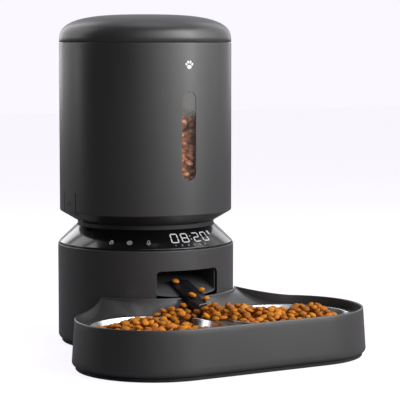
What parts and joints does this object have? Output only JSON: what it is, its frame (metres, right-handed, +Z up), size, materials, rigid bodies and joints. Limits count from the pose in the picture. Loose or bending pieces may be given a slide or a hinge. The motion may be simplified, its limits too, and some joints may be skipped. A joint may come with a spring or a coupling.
{
  "type": "automatic pet feeder",
  "caption": "Round tower pet feeder: lidded hopper with a window over a motor base with clock panel, and a two-bowl tray hugging its front.",
  "frame": {"origin": "on the floor, under the middle of the whole feeder's outline", "axes": "+Z up, -Y towards the bowls and the food outlet, +X to the right seen from the front"},
  "size_m": [0.3286, 0.3432, 0.3599],
  "materials": {
    "graphite_abs": "satin moulded ABS, fine grain",
    "black_plastic": "moulded black ABS",
    "gloss_panel": "high-gloss black plastic",
    "inner_grey": "moulded grey plastic",
    "clear_window": "clear polycarbonate",
    "rubber_feet": "soft black rubber",
    "silicone": "pale silicone",
    "stainless": "polished stainless steel",
    "steel_parts": "plated steel",
    "acetal": "natural acetal",
    "brass": "turned brass",
    "circuit_board": "green solder mask",
    "battery_wrap": "shrink-wrapped cells",
    "sachet": "nonwoven paper sachet"
  },
  "bodies": {
    "base": {"base_shell": "graphite_abs", "base_plate": "black_plastic", "tower_foot_ring": "rubber_feet", "control_cone": "gloss_panel", "turret_frame": "black_plastic", "chute": "black_plastic", "axle_bush": "brass", "gearbox_housing": "inner_grey", "gearbox_cover": "inner_grey", "motor_can": "steel_parts", "battery_bay": "inner_grey", "battery_cell_1": "battery_wrap", "battery_cell_2": "battery_wrap", "battery_cell_3": "battery_wrap", "battery_contact_front": "steel_parts", "battery_contact_rear": "steel_parts", "display_module": "circuit_board", "touch_board": "circuit_board", "main_board": "circuit_board", "power_jack": "black_plastic", "speaker": "black_plastic", "microphone": "steel_parts", "plate_screw_1": "steel_parts", "plate_screw_2": "steel_parts", "plate_screw_3": "steel_parts", "plate_screw_4": "steel_parts"},
    "battery_door": {"battery_door": "black_plastic"},
    "drive": {"drive_gear": "acetal"},
    "idler": {"idler_gear": "acetal"},
    "pinion": {"motor_pinion": "brass"},
    "hopper": {"hopper_shell": "graphite_abs", "hopper_window": "clear_window", "hopper_funnel": "inner_grey", "portion_shield": "silicone"},
    "latch_left": {"latch_left": "graphite_abs"},
    "latch_right": {"latch_right": "graphite_abs"},
    "rotor": {"rotor": "acetal", "stirrer": "silicone"},
    "lid": {"lid_shell": "graphite_abs", "lid_liner": "inner_grey", "lid_seal": "silicone", "desiccant_box": "inner_grey", "desiccant_pack": "sachet"},
    "desiccant_cap": {"desiccant_cap": "inner_grey"},
    "tray": {"tray_body": "graphite_abs", "tray_foot_ring": "rubber_feet"},
    "splitter": {"splitter": "gloss_panel"},
    "bowl_left": {"bowl_left": "stainless"},
    "bowl_right": {"bowl_right": "stainless"}
  },
  "joints": [
    {"name": "hopper_lift", "type": "slide", "parent": "base", "child": "hopper", "axis": [0, 0, 1], "range_m": [0, 0.06]},
    {"name": "lid_lift", "type": "slide", "parent": "hopper", "child": "lid", "axis": [0, 0, 1], "range_m": [0, 0.08]},
    {"name": "desiccant_twist", "type": "hinge", "parent": "lid", "child": "desiccant_cap", "pos_m": [0, 0.07426, 0.312], "axis": [0, 0, 1], "range_deg": [0, 45]},
    {"name": "latch_left_press", "type": "hinge", "parent": "hopper", "child": "latch_left", "pos_m": [-0.0937, 0.07426, 0.1678], "axis": [0, -1, 0], "range_deg": [0, 6], "stiffness_Nm_per_rad": 0.5},
    {"name": "latch_right_press", "type": "hinge", "parent": "hopper", "child": "latch_right", "pos_m": [0.0937, 0.07426, 0.1678], "axis": [0, 1, 0], "range_deg": [0, 6], "stiffness_Nm_per_rad": 0.5},
    {"name": "rotor_spin", "type": "hinge", "parent": "hopper", "child": "rotor", "pos_m": [0, 0.07426, 0.13], "axis": [0, 0, 1], "continuous": true},
    {"name": "drive_spin", "type": "hinge", "parent": "base", "child": "drive", "pos_m": [0, 0.07426, 0.11], "axis": [0, 0, 1], "continuous": true},
    {"name": "idler_spin", "type": "hinge", "parent": "base", "child": "idler", "pos_m": [0, 0.10576, 0.105], "axis": [0, 0, 1], "continuous": true},
    {"name": "motor_spin", "type": "hinge", "parent": "base", "child": "pinion", "pos_m": [0, 0.13366, 0.103], "axis": [0, 0, 1], "continuous": true},
    {"name": "battery_door_hinge", "type": "hinge", "parent": "base", "child": "battery_door", "pos_m": [0, 0.10516, 0.0054], "axis": [1, 0, 0], "range_deg": [0, 95]},
    {"name": "tray_pull", "type": "slide", "parent": "base", "child": "tray", "axis": [0, -1, 0], "range_m": [0, 0.07]},
    {"name": "splitter_lift", "type": "slide", "parent": "tray", "child": "splitter", "axis": [0, 0, 1], "range_m": [0, 0.01]},
    {"name": "bowl_left_lift", "type": "slide", "parent": "tray", "child": "bowl_left", "axis": [0, 0, 1], "range_m": [0, 0.06]},
    {"name": "bowl_right_lift", "type": "slide", "parent": "tray", "child": "bowl_right", "axis": [0, 0, 1], "range_m": [0, 0.06]}
  ],
  "couplings": [
    {"joint": "drive_spin", "follows": "rotor_spin", "ratio": 1},
    {"joint": "idler_spin", "follows": "rotor_spin", "ratio": -2.8889},
    {"joint": "motor_spin", "follows": "rotor_spin", "ratio": 7.0617}
  ]
}
